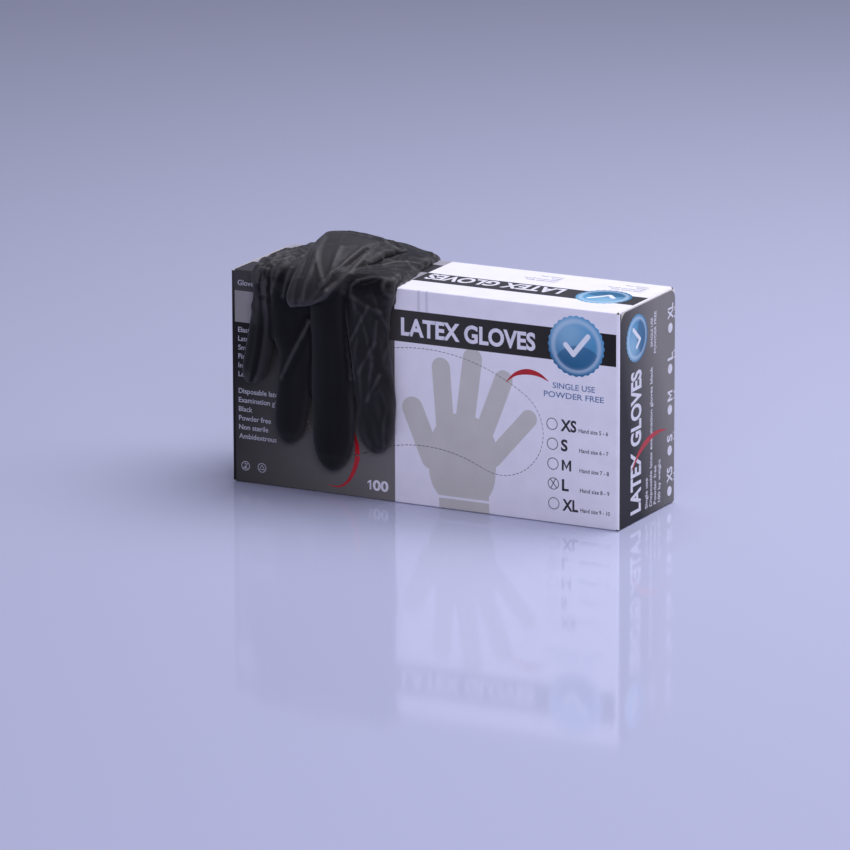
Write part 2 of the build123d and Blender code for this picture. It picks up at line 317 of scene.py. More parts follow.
def new_piece(name, points, faces, material, smooth=True):
    """Makes a mesh object at the origin from points and faces."""
    mesh = bpy.data.meshes.new(name)
    mesh.from_pydata(points, [], faces)
    mesh.materials.append(material)
    mesh.polygons.foreach_set("use_smooth", [smooth] * len(mesh.polygons))
    mesh.update()
    piece = bpy.data.objects.new(name, mesh)
    bpy.context.scene.collection.objects.link(piece)
    return piece


def grid_faces(rows, columns, round_rows=False, round_columns=False):
    """Quads of a grid of points whose rows or columns may close on themselves."""
    row = np.arange(rows if round_rows else rows - 1)
    column = np.arange(columns if round_columns else columns - 1)
    r, c = (a.ravel() for a in np.meshgrid(row, column, indexing="ij"))
    next_r, next_c = (r + 1) % rows, (c + 1) % columns
    near, far = r * columns, next_r * columns
    return np.stack([near + c, far + c, far + next_c, near + next_c], axis=1)


def fold_strip(name, crease, side_x, side_y, material):
    """Board bent a quarter turn about an upright axis, with a short flat run on each side.

    Its outline is the path of the outer face and back along the inner face: a run along X,
    a quarter circle about the axis, a run along Y. side_x and side_y say which way it turns.
    The outline is carried up the fold, and its first run laps the panel's cut edge by a lip
    thinner than the varnish. It is given with the start and end of its bend.
    """
    low, high = (np.array(corner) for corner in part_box(crease))
    axis_x, axis_y = (low + high)[:2] / 2
    turn = np.linspace(0, math.pi / 2, 13)
    lap, lip, corner_reach = 0.35 * MM, 0.015 * MM, 0.6 * fold_radius
    loops = []
    for radius in (fold_radius, fold_radius - board_thickness):
        across = np.concatenate([[-fold_setback - lap], radius * np.sin(turn), [radius]])
        back = np.concatenate([[radius + lip], radius * np.cos(turn) + lip, [-fold_setback]])
        loops.append(np.stack([across, back], axis=1))
    outline = np.concatenate([loops[0], loops[1][::-1]])
    heights = np.linspace(low[2] - corner_reach, high[2] + corner_reach, 40)
    points = np.zeros((len(heights), len(outline), 3))
    points[..., 0] = axis_x + side_x * outline[None, :, 0]
    points[..., 1] = axis_y + side_y * outline[None, :, 1]
    points[..., 2] = heights[:, None]
    count, last = len(outline), (len(heights) - 1) * len(outline)
    k = np.arange(count // 2 - 1)
    foot = np.stack([k, k + 1, count - 2 - k, count - 1 - k], axis=1)
    sides = grid_faces(len(heights), count, round_columns=True)
    faces = np.concatenate([sides, foot, last + foot[:, [1, 0, 3, 2]]])
    if side_x * side_y < 0:
        faces = faces[:, ::-1]
    piece = new_piece(name, points.reshape(-1, 3), faces, material, smooth=False)
    reach = fold_radius / 2
    start = (axis_x - side_x * reach, axis_y + side_y * reach, 0)
    end = (axis_x + side_x * reach, axis_y - side_y * reach, 0)
    return piece, start, end


fold_boards = {
    # The left fold takes the end's charcoal ink and its painted reflection, fading to grey.
    "left_outer": printed_board("left_fold", end, y_axis, z_axis, (-0.7, -0.7, 0)),
    "right_outer": printed_board("right_fold", design_for_fold, y_axis, z_axis, (0.7, -0.7, 0)),
    "left_inner": boards["white_left_flap"],
    "right_inner": boards["white_right_flap"],
}
for side, side_x in (("left", -1), ("right", 1)):
    for layer, side_y in (("outer", -1), ("inner", 1)):
        fold = f"{side}_{layer}"
        crease = f"{fold}_flap_crease"
        strip, start, stop = fold_strip(f"{fold}_fold", crease, side_x, side_y, fold_boards[fold])
        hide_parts(crease)
        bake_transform(strip)

# ---------------------------------------------------------------------------------------
# Lettering: generic words and sizes, printed in spot inks over the greys. A film of ink is
# a few micrometres thick; here each mark is a closed flake a fiftieth of a millimetre thick
# that rides on the panel it is printed on.
# ---------------------------------------------------------------------------------------
ink_lift = 0.006 * MM
ink_thickness = 0.02 * MM
over_other_ink = 1.4  # how many films up a mark lies where it may cross another


def ink_film(name, colour, colour_worn):
    """Offset ink under satin varnish, with the faint cloudiness of a thin even film."""
    material, tree = new_material(name)
    coordinates = add(tree, "TexCoord", output=3)
    cloud = add(tree, "TexNoise", {"Vector": coordinates, "Scale": 0.35 / MM, "Detail": 3.0})
    mixed = fade(tree, cloud, 0.45, 0.8, colour, colour_worn)
    film = {"Base Color": mixed, "Roughness": 0.34, "IOR": 1.48}
    add(tree, "OutputMaterial", {"Surface": add(tree, "BsdfPrincipled", film)})
    return material


white_ink = ink_film("white_ink", "#E9E8EE", "#D6D5DC")
silver_ink = ink_film("silver_grey_ink", "#B9B9BF", "#A3A3AA")
charcoal_ink = ink_film("charcoal_ink", "#232226", "#343338")
slate_ink = ink_film("slate_blue_ink", "#5F7C9F", "#7590B0")
grey_ink = ink_film("mid_grey_ink", "#83838C", "#94949C")
red_ink = ink_film("red_ink", "#C01D28", "#A91A26")


def finished_shape(piece):
    """Gives the points and faces of an object as its modifiers or its font make them."""
    seen = piece.evaluated_get(bpy.context.evaluated_depsgraph_get())
    mesh = bpy.data.meshes.new_from_object(seen)
    points = np.zeros(len(mesh.vertices) * 3)
    mesh.vertices.foreach_get("co", points)
    corners, starts = np.zeros(len(mesh.loops), int), np.zeros(len(mesh.polygons), int)
    mesh.loops.foreach_get("vertex_index", corners)
    mesh.polygons.foreach_get("loop_start", starts)
    bpy.data.meshes.remove(mesh)
    return points.reshape(-1, 3), np.split(corners, starts[1:])


def glyphs(text, weight):
    """Gives a word's points, in widths of its own font, and its faces."""
    curve = bpy.data.curves.new("word", "FONT")
    curve.body = text
    curve.offset = weight
    curve.extrude = 0.5
    curve.resolution_u = 4
    word = bpy.data.objects.new("word", curve)
    bpy.context.scene.collection.objects.link(word)
    shape = finished_shape(word)
    bpy.data.objects.remove(word)
    bpy.data.curves.remove(curve)
    return shape


light_weight, medium_weight, bold_weight = 0.012, 0.03, 0.034
capital_height = np.ptp(glyphs("H", 0.0)[0][:, 1])


def eased(stations, values, at):
    """Values between stations, on cubics whose slope at each station is its neighbours' mean."""
    stations, values = np.array(stations, float), np.array(values, float)
    tangents = np.gradient(values, stations, axis=0)
    span = np.clip(np.searchsorted(stations, at) - 1, 0, len(stations) - 2)
    run = stations[span + 1] - stations[span]
    t = np.clip((at - stations[span]) / run, 0, 1)
    if values.ndim > 1:
        t, run = t[..., None], run[..., None]
    start, end = values[span], values[span + 1]
    rise_out, rise_in = tangents[span] * run, tangents[span + 1] * run
    return (
        (2 * t**3 - 3 * t**2 + 1) * start
        + (t**3 - 2 * t**2 + t) * rise_out
        + (3 * t**2 - 2 * t**3) * end
        + (t**3 - t**2) * rise_in
    )


def word(text, across, up, height, width=None, weight=light_weight):
    """A line of lettering from its lower left corner, with its capitals' height, in mm.

    Its points are the glyphs' own, scaled evenly, or squeezed to a width if one is given.
    """
    points, faces = glyphs(text, weight)
    scale = height / capital_height
    left = points[:, 0].min()
    stretch = scale if width is None else width / np.ptp(points[:, 0])
    x, y, z = points.T
    return np.stack([across + (x - left) * stretch, up + y * scale, z + 0.5], axis=1), faces


def ring(across, up, radius, line, count=40):
    """A printed circle: a square section of ink carried round a circle."""
    angle = np.linspace(0, 2 * math.pi, count, endpoint=False)[:, None]
    reach = np.array([radius - line, radius, radius, radius - line])[None, :]
    layer = np.array([0.0, 0.0, 1.0, 1.0])[None, :] + 0 * angle
    x, y = across + reach * np.cos(angle), up + reach * np.sin(angle)
    points = np.stack([x, y, layer], axis=-1).reshape(-1, 3)
    return points, grid_faces(count, 4, round_rows=True, round_columns=True)


def flake(outline):
    """A printed patch inside an outline of points, given anticlockwise in mm."""
    size = len(outline)
    points = np.zeros((2, size, 3))
    points[..., :2] = outline
    points[1, :, 2] = 1.0
    sides = grid_faces(2, size, round_columns=True)[:, ::-1]
    return points.reshape(-1, 3), [*sides, np.arange(size)[::-1], np.arange(size, 2 * size)]


def stroke(start, end, line, count=12):
    """A printed stroke with round ends: a half circle about each end of its run."""
    start, end = np.array(start, float), np.array(end, float)
    heading = math.atan2(*(end - start)[::-1]) if np.any(end != start) else 0.0
    turn = np.linspace(-math.pi / 2, math.pi / 2, count)
    bow = line / 2 * np.stack([np.cos(heading + turn), np.sin(heading + turn)], axis=1)
    return flake(np.concatenate([end + bow, start - bow]))


def brush_stroke(stations):
    """A printed brush stroke along an eased path: a station is (across, up, width).

    It is lifted by more than one film's thickness, as it may lie over other ink.
    """
    at = np.linspace(0, 1, 60)
    path = eased(np.linspace(0, 1, len(stations)), stations, at)
    run = np.gradient(path[:, :2], axis=0)
    run /= np.linalg.norm(run, axis=1, keepdims=True)
    side = np.stack([-run[:, 1], run[:, 0]], axis=1) * path[:, 2:] / 2
    points, faces = flake(np.concatenate([path[:, :2] - side, (path[:, :2] + side)[::-1]]))
    points[:, 2] += over_other_ink
    return points, faces


def letter_m(across, up, height):
    """An M of even stems, as one outline in shares of its height."""
    stem, wide = 0.2, 0.94
    shape = [
        (0, 0), (stem, 0), (stem, 0.66), (wide / 2, 0.14), (wide - stem, 0.66),
        (wide - stem, 0), (wide, 0), (wide, 1), (wide - 0.9 * stem, 1), (wide / 2, 0.42),
        (0.9 * stem, 1), (0, 1),
    ]
    return flake(np.array(shape) * height + (across, up))


def figure_one(across, up, height):
    """A figure 1 of a stem and a flag, as one outline in shares of its height."""
    shape = [(0.24, 0), (0.42, 0), (0.42, 1), (0.27, 1), (0, 0.78), (0, 0.6), (0.24, 0.77)]
    return flake(np.array(shape) * height + (across, up))


def hand_size(size, across, up, height, wide):
    """A hand size in capitals: two letters are fitted to a width, and an M is drawn."""
    if size == "M":
        return letter_m(across, up, height)
    return word(size, across, up, height, wide if len(size) > 1 else None, medium_weight)


def joined(parts):
    """Several closed shapes as one list of points and one of faces."""
    points, faces, used = [], [], 0
    for some_points, some_faces in parts:
        points.append(some_points)
        faces += [np.array(face) + used for face in some_faces]
        used += len(some_points)
    return np.concatenate(points), faces


def print_on(name, body, face, marks, material):
    """Lays marks on a face of the carton: face is its origin, its right and its up."""
    origin, right, upward = (np.array(v, float) for v in face)
    points, faces = joined(marks)
    lift = ink_lift + points[:, 2:3] * ink_thickness
    flat = origin + points[:, :1] * MM * right + points[:, 1:2] * MM * upward
    flat = flat + lift * np.cross(right, upward)
    piece = new_piece(name, flat, faces, material, smooth=False)
    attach(piece, body)
    return piece


# Each face's origin, and the ways that a line of lettering runs and stands on it.
front_face = (0, front_y, 0), x_axis, z_axis
back_face = (0, rear_y, 0), leftwards, z_axis
top_face = (0, 0, top_z), leftwards, forwards
base_face = (0, 0, 0), x_axis, forwards
right_face = (end_x, 0, 0), z_axis, forwards
left_face = (-end_x, 0, 0), z_axis, y_axis

sizes = ["XS", "S", "M", "L", "XL"]
size_ranges = ["5 - 6", "6 - 7", "7 - 8", "8 - 9", "9 - 10"]
chosen_size = "L"
facts = [
    "Disposable latex", "Examination gloves", "Black",
    "Powder free", "Non sterile", "Ambidextrous",
]
qualities = ["Elastic", "Latex", "Smooth", "Fine grip", "Instant fit", "Long cuff"]
heading = "LATEX GLOVES"
slogan = ("SINGLE USE", "POWDER FREE")

for side, face in (("front", front_face), ("back", back_face)):
    marks = [word(heading, -13.6, 96.0, 9.2, 82.6, weight=bold_weight)]
    marks += [figure_one(-34.9, 5.3, 5.5), word("00", -31.6, 5.3, 5.5, 9.8, weight=bold_weight)]
    print_on(f"{side}_heading_print", "carton", face, marks, white_ink)

    marks = [word(text, -116.0, 51.3 - 5.2 * row, 2.8) for row, text in enumerate(facts)]
    marks += [word(text, -116.0, 86.4 - 5.1 * row, 2.8) for row, text in enumerate(qualities)]
    marks += [word("Gloves", -116.0, 113.2, 2.9)]
    marks += [ring(-112.0, 9.6, 2.7, 0.45), stroke((-113.9, 7.7), (-110.1, 11.5), 0.45)]
    marks += [word("2", -112.9, 8.1, 3.0), ring(-101.6, 9.6, 2.7, 0.4)]
    foot_left, tip, foot_right = (-103.2, 8.6), (-101.6, 11.2), (-100.0, 8.6)
    marks += [stroke(foot_left, tip, 0.4), stroke(tip, foot_right, 0.4)]
    marks += [stroke(foot_left, foot_right, 0.4)]
    print_on(f"{side}_small_print", "carton", face, marks, silver_ink)

    marks = [word(slogan[0], 79.6, 76.2, 3.1, 25.6), word(slogan[1], 74.2, 71.0, 3.1, 36.4)]
    print_on(f"{side}_slogan_print", "carton", face, marks, slate_ink)

    marks = []
    for row, (size, fits) in enumerate(zip(sizes, size_ranges)):
        across, level = 79.2 + 0.3 * row, 55.9 - 11.2 * row
        marks.append(ring(across, level, 3.4, 0.42))
        letter_gap = 5.4 if size == "M" else 5.2
        marks.append(hand_size(size, across + letter_gap, level - 3.2, 6.1, 9.6))
        marks.append(word(f"Hand size {fits}", across + 16.2, level - 3.1, 2.2, 17.8))
        if size == chosen_size:
            marks.append(stroke((across - 1.5, level - 2.6), (across + 1.3, level + 2.7), 0.45))
            marks.append(stroke((across - 1.7, level + 2.3), (across + 1.9, level - 2.1), 0.45))
    print_on(f"{side}_size_print", "carton", face, marks, charcoal_ink)

    upper_path = [
        (51.0, 76.4, 0.3), (57.0, 81.4, 2.0), (64.0, 83.4, 3.2), (71.0, 82.6, 2.2),
        (77.0, 79.6, 0.3),
    ]
    lower_path = [
        (-60.0, 4.9, 0.2), (-52.9, 4.7, 0.9), (-47.3, 8.2, 1.6), (-43.4, 14.9, 2.4),
        (-41.3, 21.5, 2.9), (-41.1, 23.5, 2.9),
    ]
    marks = [brush_stroke(upper_path), brush_stroke(lower_path)]
    print_on(f"{side}_brush_print", "carton", face, marks, red_ink)

# The lower stroke runs on over the front's perforation, on to the tear-out panel.
marks = [brush_stroke([(-41.1, 24.3, 2.9), (-41.4, 29.5, 2.5), (-43.0, 37.3, 0.3)])]
print_on("panel_brush_print", "dispensing_panel", front_face, marks, red_ink)
marks = [brush_stroke([(-41.1, 23.6, 2.9), (-41.4, 29.5, 2.5), (-43.0, 37.3, 0.3)])]
print_on("back_long_brush_print", "carton", back_face, marks, red_ink)

marks = [word(heading, -69.5, -2.6, 10.6, 83.5, weight=bold_weight)]
print_on("top_heading_print", "carton", top_face, marks, white_ink)
marks = []
for across in (-108.0, -56.0):
    marks += [word(text, across, -16.5 - 3.4 * row, 1.9) for row, text in enumerate(facts[:4])]
print_on("top_small_print", "carton", top_face, marks, grey_ink)
marks = [word(heading, -41.0, -3.6, 7.2, 82.0, weight=bold_weight)]
print_on("base_print", "carton", base_face, marks, white_ink)

for side, face in (("right", right_face), ("left", left_face)):
    marks = [word(heading, 5.2, 8.6, 11.8, 80.4, weight=bold_weight)]
    marks += [word(slogan[0], 94.8, -6.0, 2.6, 16.4), word(slogan[1], 90.5, -10.4, 2.6, 23.5)]
    marks += [word("Single use", 4.6, -0.4, 3.0), word("100 by weight", 4.6, -16.6, 3.0)]
    marks += [word("Disposable latex examination gloves black", 4.6, -6.0, 3.0, 79.0)]
    marks += [word("Powder free", 4.6, -11.3, 3.0)]
    for row, (size, fits) in enumerate(zip(sizes, size_ranges)):
        level = 7.6 + 23.2 * row
        marks.append(stroke((level, -28.4), (level, -28.4), 5.6))
        marks.append(hand_size(size, level + 4.9, -31.6, 6.2, 8.8))
        marks.append(word(fits, level + 4.9, -34.6, 1.8))
    print_on(f"{side}_end_print", f"{side}_outer_flap", face, marks, white_ink)

    path = [
        (30.0, 20.0, 0.3), (38.0, 11.0, 2.6), (43.0, 0.0, 3.4), (45.0, -12.0, 2.2),
        (44.0, -24.0, 0.3),
    ]
    end_stroke = [brush_stroke(path)]
    print_on(f"{side}_end_brush_print", f"{side}_outer_flap", face, end_stroke, red_ink)

# ---------------------------------------------------------------------------------------
# Badge: a round seal in two blues with a scalloped rim, a pale ring and a white tick. It is
# printed over the stripe on every face that carries the heading, apart from the bottom.
# ---------------------------------------------------------------------------------------


def disc(tree, place, centre, radius, soft=0.12):
    """Mask of a disc about a centre in the face's own plane."""
    away = add(tree, "VectorMath", [place, (*centre, 0.0)], output=1, operation="DISTANCE")
    return within(tree, away, radius, soft)


def badge_inks():
    """Two blues that fade into each other, with paler marks, on the badge's own map.

    The map's middle is nought and the badge's radius is 1.
    """
    material, tree = new_material("badge_blue_inks")
    place = add(tree, "UVMap", uv_map="face")
    across = add(tree, "VectorMath", [place, (0.45, 1.0, 0.0)], output=1, operation="DOT_PRODUCT")
    colour = fade(tree, across, -0.9, 0.9, "#1D6E99", "#5FA6CC")

    gleam = disc(tree, place, (-0.3, 0.42), 0.55, soft=0.5)
    gleam = add(tree, "Math", [gleam, 0.55], operation="MULTIPLY")
    colour = ink(tree, colour, gleam, "#A9D3E6")

    outer, hollow = disc(tree, place, (0.0, 0.0), 0.86), disc(tree, place, (0.0, 0.0), 0.80)
    kept = add(tree, "Math", [1.0, hollow], operation="SUBTRACT")
    rim = add(tree, "Math", [outer, kept], operation="MULTIPLY")
    colour = ink(tree, colour, rim, "#D7E9F2")

    shadow = disc(tree, place, (0.1, -1.0), 1.02, soft=0.02)
    shadow = add(tree, "Math", [shadow, 0.6], operation="MULTIPLY")
    inside_rim = disc(tree, place, (0.0, 0.0), 0.79, soft=0.01)
    shadow = add(tree, "Math", [shadow, inside_rim], operation="MULTIPLY")
    colour = ink(tree, colour, shadow, "#12557C")

    left, foot, right = (-0.38, 0.02), (-0.1, -0.28), (0.42, 0.36)
    tick = either(
        tree,
        [
            stadium(tree, place, left, foot, 0.085, soft=0.01),
            stadium(tree, place, foot, right, 0.085, soft=0.01),
        ],
    )
    colour = ink(tree, colour, tick, "#EEF3F6")
    film = {"Base Color": colour, "Roughness": 0.3, "IOR": 1.48}
    add(tree, "OutputMaterial", {"Surface": add(tree, "BsdfPrincipled", film)})
    return material


badge_material = badge_inks()


def badge(name, body, face, across, up, radius):
    """A thin disc whose rim goes in and out as the radius times 1 + 0.02 cos(28 angle)."""
    angle = np.linspace(0, 2 * math.pi, 168, endpoint=False)
    rim = 1 + 0.02 * np.cos(28 * angle)
    shape = np.stack([rim * np.cos(angle), rim * np.sin(angle)], axis=1)
    points, faces = flake(shape * radius + (across, up))
    points[:, 2] = 1.2 + 1.2 * points[:, 2]  # over the stripe's lettering, and a film thicker
    piece = print_on(name, body, face, [(points, faces)], badge_material)
    layer = piece.data.uv_layers.new(name="face")
    corners = np.zeros(len(piece.data.loops), int)
    piece.data.loops.foreach_get("vertex_index", corners)
    layer.data.foreach_set("uv", np.tile(shape, (2, 1))[corners].ravel())
    return piece


badge("front_badge", "carton", front_face, 93.8, 101.0, 16.9)
badge("back_badge", "carton", back_face, 93.8, 101.0, 16.9)
badge("top_badge", "carton", top_face, -95.0, 3.8, 15.5)
badge("right_badge", "right_outer_flap", right_face, 103.8, 13.8, 13.2)
badge("left_badge", "left_outer_flap", left_face, 103.8, 13.8, 13.2)

# ---------------------------------------------------------------------------------------
# Draped glove: black latex about 0.1 mm thick, limp and a little tacky, so it holds sharp
# folds and some trapped air. Its palm lies over the top, its four fingers hang down the
# front, its thumb is folded forward over their roots and its cuff hangs down the back.
# ---------------------------------------------------------------------------------------
rest = 0.35  # how far off the board the glove's underside lies, in mm
half_depth = -front_y / MM + rest
over_top = top_z / MM + rest
edge_radius = 3.0
edge_lean = 9.0  # how far on each side of an edge the lift's direction turns, in mm


def ramp(value, low, high):
    """A smooth step from 0 to 1 as a value goes from low to high: 3 t^2 - 2 t^3."""
    t = np.clip((value - low) / (high - low), 0, 1)
    return t * t * (3 - 2 * t)


def over_carton(along, across, lift):
    """Places points by a path up the front, over the top and down the back, in mm.

    along is measured from the front top edge, negative down the front. The path turns
    each edge on an arc, and the direction of lift turns a little sooner and later than it.
    """
    quarter = np.linspace(0, math.pi / 2, 12)
    sine, cosine = edge_radius * np.sin(quarter), edge_radius * np.cos(quarter)
    flat, level = half_depth - edge_radius, over_top - edge_radius
    ys = np.concatenate([[-half_depth], -flat - cosine, flat + sine, [half_depth]])
    zs = np.concatenate([[0.0], level + sine, level + cosine, [0.0]])
    path = np.stack([ys, zs], axis=1)
    gone = np.concatenate([[0], np.cumsum(np.linalg.norm(np.diff(path, axis=0), axis=1))])
    gone -= level + edge_radius * math.pi / 4
    far_edge = 2 * flat + edge_radius * math.pi / 2
    turned = ramp(along, -edge_lean, edge_lean) + ramp(along - far_edge, -edge_lean, edge_lean)
    lean = math.pi - turned * math.pi / 2
    y = np.interp(along, gone, path[:, 0]) + lift * np.cos(lean)
    z = np.interp(along, gone, path[:, 1]) + lift * np.sin(lean)
    return np.stack([across + 0 * y, y, z], axis=-1)


def loft(rings):
    """A closed skin over rings of points, with a fan to the middle of the first and last."""
    rows, columns = rings.shape[:2]
    points = np.concatenate([rings.reshape(-1, 3), rings[:1].mean(1), rings[-1:].mean(1)])
    faces = list(grid_faces(rows, columns, round_columns=True))
    first, last = rows * columns, rows * columns + 1
    for k in range(columns):
        after = (k + 1) % columns
        faces.append((k, after, first))
        faces.append((last - 1 - columns + after, last - 1 - columns + k, last))
    return points, faces


def rounded(value, power):
    """A sine or cosine raised to a power that keeps its sign: below 1 it fills an oval."""
    return np.sign(value) * np.abs(value) ** power


def hanging_finger(stations, tip_length, cleft=0.0):
    """A finger of the glove as an oval tube along the path over the carton.

    A station is (along, across, half width, lift, thickness), from the root to the tip, in
    mm. The half width closes at the tip as the square root of 1 - (1 - distance / length)^2,
    and a cleft presses the front in along the middle where the finger folds lengthways.
    """
    stations = np.array(stations, float)[::-1]
    along = np.linspace(stations[0, 0], stations[-1, 0], 90)
    share = np.clip((along - along[0]) / tip_length, 0, 1)
    along = along[0] + (along - along[0]) * np.clip(share, 0.15, 1) ** 0.4
    values = eased(stations[:, 0], stations[:, 1:], along)
    near = np.clip((along - along[0]) / tip_length, 0, 1)
    closing = np.sqrt(1 - (1 - near) ** 2)[:, None]
    turn = np.linspace(0, 2 * math.pi, 64, endpoint=False)[None, :]
    across, half, lift, thick = (values[:, k : k + 1] for k in range(4))
    sideways = rounded(np.cos(turn), 0.9) * closing
    depth = rounded(np.sin(turn), 0.75) * np.minimum(1, closing * 1.25)
    press = 1 - cleft * np.exp(-((np.cos(turn) - 0.15) ** 2) / 0.05) * (depth > 0)
    height = lift + thick * (0.5 + 0.5 * depth * press)
    x = across + half * sideways
    return loft(over_carton(along[:, None] + 0 * x, x, height))


def palm_over_top():
    """The palm as a flattened bag: a floor on the board and a roof whose height is eased
    over a few stations along and across. Its rim closes as a half oval."""
    across = [-112, -104, -96, -88, -80, -62, -45, -36, -28, -21, -16]
    heights = {
        -9: [2, 3, 4, 5, 6, 6, 6, 6, 6, 5, 3],
        -2: [3, 4.5, 6, 6, 7, 7, 7, 7, 7, 6, 4],
        12: [3, 6, 6.5, 5, 7, 8, 7, 6, 5.5, 5, 3],
        30: [2.5, 5, 6, 5, 8, 10, 8, 6.5, 6, 5, 3],
        45: [2.5, 4, 5, 5, 9, 11, 10, 8, 7, 6, 3.5],
        56: [2, 3, 4, 5, 9, 11, 10, 8, 7, 6, 4.5],
        66: [2, 2.5, 3, 4, 7, 8, 8, 6, 5, 4.5, 3],
        76: [2, 2.5, 3, 3.5, 5, 5, 5, 4.5, 4, 4, 3],
        90: [2, 3, 4, 5, 5.5, 5.5, 5.5, 5, 4.5, 4, 3],
        98: [2, 3, 4, 5, 5.5, 5.5, 5.5, 5, 4.5, 4, 3],
    }
    edges = {
        -9: (-103, -17), -2: (-104, -16), 12: (-107, -17), 36: (-109.5, -21),
        53: (-110, -24), 72: (-108, -26), 84: (-103, -24), 98: (-101.5, -23),
    }
    along = np.linspace(-9, 98, 150)
    sides = eased(list(edges), list(edges.values()), along)
    table = eased(list(heights), list(heights.values()), along)
    turn = np.linspace(0, 2 * math.pi, 260, endpoint=False)
    share = 0.5 - 0.5 * rounded(np.cos(turn), 0.92)
    x = sides[:, :1] + (sides[:, 1:] - sides[:, :1]) * share[None, :]
    roof = np.stack([eased(across, row, xs) for row, xs in zip(table, x)])
    height = np.maximum(roof, 1.6) * np.maximum(rounded(np.sin(turn), 0.4), 0)[None, :]
    return loft(over_carton(along[:, None] + 0 * x, x, height))


def thumb_hood():
    """The thumb's side of the palm, folded forward: an oval loft between two edge curves.

    A station is the left edge, the right edge, how far the roof stands up between them, and
    the thickness at the edges. Up is square to the edges' line and to the loft's own run.
    """
    stations = [
        ((-84, 28, 125), (-34, 28, 124), 5.0, 4.0),
        ((-84, 14, 130), (-36, 12, 129), 5.0, 5.6),
        ((-83.5, 1, 133.6), (-39, -4, 131.8), 4.6, 6.4),
        ((-82, -14, 131), (-41, -20, 130.2), 5.0, 6.2),
        ((-79.8, -29, 126.8), (-43.5, -33, 127), 5.0, 5.8),
        ((-78.2, -42, 120), (-48.5, -43.5, 121), 3.6, 5.8),
        ((-77.8, -48.2, 112.8), (-54.5, -49.2, 114.2), 1.4, 5.4),
        ((-75.4, -48.8, 107.6), (-64, -49.4, 109.4), 0.2, 4.0),
    ]
    left, right = (np.array([s[k] for s in stations], float) for k in (0, 1))
    ends = np.linspace(0, 1, len(stations))
    at = np.linspace(0, 1, 110)
    left, right = eased(ends, left, at), eased(ends, right, at)
    arch = eased(ends, [s[2] for s in stations], at)[:, None, None]
    thick = eased(ends, [s[3] for s in stations], at)[:, None, None]
    wide = right - left
    run = np.gradient((left + right) / 2, axis=0)
    up = np.cross(run, wide)
    up /= np.linalg.norm(up, axis=1, keepdims=True)
    up *= np.sign(up[:, 2:3] - up[:, 1:2])
    turn = np.linspace(0, 2 * math.pi, 120, endpoint=False)
    share = (0.5 - 0.5 * rounded(np.cos(turn), 0.8))[None, :, None]
    side = rounded(np.sin(turn), 0.5)[None, :, None]
    profile = eased([0, 0.1, 0.26, 0.5, 0.78, 1], [0, 0.8, 1, 0.9, 0.5, 0], share.ravel())
    bow = profile.reshape(share.shape)
    seam = np.exp(-((share - 0.86) ** 2) / 0.0010) * 1.5 * (side > 0)
    lifted = thick * side / 2 + arch * bow * (0.5 + 0.5 * side) - seam
    rings = left[:, None] + wide[:, None] * share + up[:, None] * lifted
    return loft(rings)


cuff_middle = -62.0  # across the carton, in mm
cuff_wall = 1.4  # thick enough for the one skin's cubes
cuff_end = 113.2  # along the path over the carton, in mm


def gaping_cuff():
    """The cuff's last stretch: a flattened tube with a thin wall, open at its foot."""
    outside, inside = np.linspace(80, cuff_end, 30), np.linspace(cuff_end, 92, 20)
    along = np.concatenate([outside, inside])
    wall = np.concatenate([0 * outside, 0 * inside + cuff_wall])[:, None]
    turn = np.linspace(0, 2 * math.pi, 200, endpoint=False)[None, :]
    depth = np.interp(along, [80, 98, 113], [3.4, 5.6, 7.6])[:, None]
    half = eased([80, 97, 114], [33.0, 39.2, 39.2], along)[:, None] - wall
    x = cuff_middle + half * rounded(np.cos(turn), 0.55)
    height = depth / 2 + 0.2 + (depth / 2 - wall) * rounded(np.sin(turn), 0.6)
    return loft(over_carton(along[:, None] + 0 * x, x, height))


fingers = {
    "little_finger": hanging_finger(
        [(18, -99, 5, 0.2, 3), (2, -99.5, 4.6, 0.2, 6), (-14, -98.2, 5.4, 0.2, 7.2),
         (-28, -98.4, 7.2, 0.2, 7.5), (-42, -100.4, 7.8, 0.2, 7.5), (-54, -103, 7.5, 0.2, 7.5),
         (-63, -105.4, 7.0, 0.2, 7)],
        tip_length=11.0, cleft=0.55,
    ),
    "ring_finger": hanging_finger(
        [(18, -76, 9, 0.2, 5), (-4, -80, 13, 0.2, 7), (-20, -80, 13.6, 0.2, 7.4),
         (-32, -79.2, 13, 0.2, 7.6), (-44, -76.6, 10.4, 0.2, 7.8), (-62, -77.8, 10.7, 0.2, 8),
         (-78, -80.2, 10.2, 0.2, 8), (-95, -81.8, 9.6, 0.2, 7.4)],
        tip_length=15.0,
    ),
    "middle_finger": hanging_finger(
        [(18, -53, 9, 0.3, 6), (-4, -55.5, 11, 0.5, 9), (-24, -54.9, 10.6, 0.8, 9.8),
         (-38, -54.0, 11.4, 0.8, 9.8), (-52, -53.1, 12.7, 0.8, 9.8), (-67, -52.8, 13, 0.8, 9.4),
         (-82, -52.9, 12.6, 0.6, 9), (-107, -54.2, 12.2, 0.6, 8)],
        tip_length=22.0,
    ),
    "index_finger": hanging_finger(
        [(18, -34, 12, 0.2, 5), (-2, -30.5, 14.5, 0.2, 7.6), (-14, -31.2, 13.6, 0.2, 8.4),
         (-31, -30.4, 12, 0.2, 8.8), (-43, -28.8, 12, 0.2, 9), (-56, -27, 12.1, 0.2, 9),
         (-68, -26.4, 11.6, 0.2, 8.8), (-80, -26.6, 11, 0.2, 8.4), (-94, -26.8, 10.4, 0.2, 7.6)],
        tip_length=17.0,
    ),
}


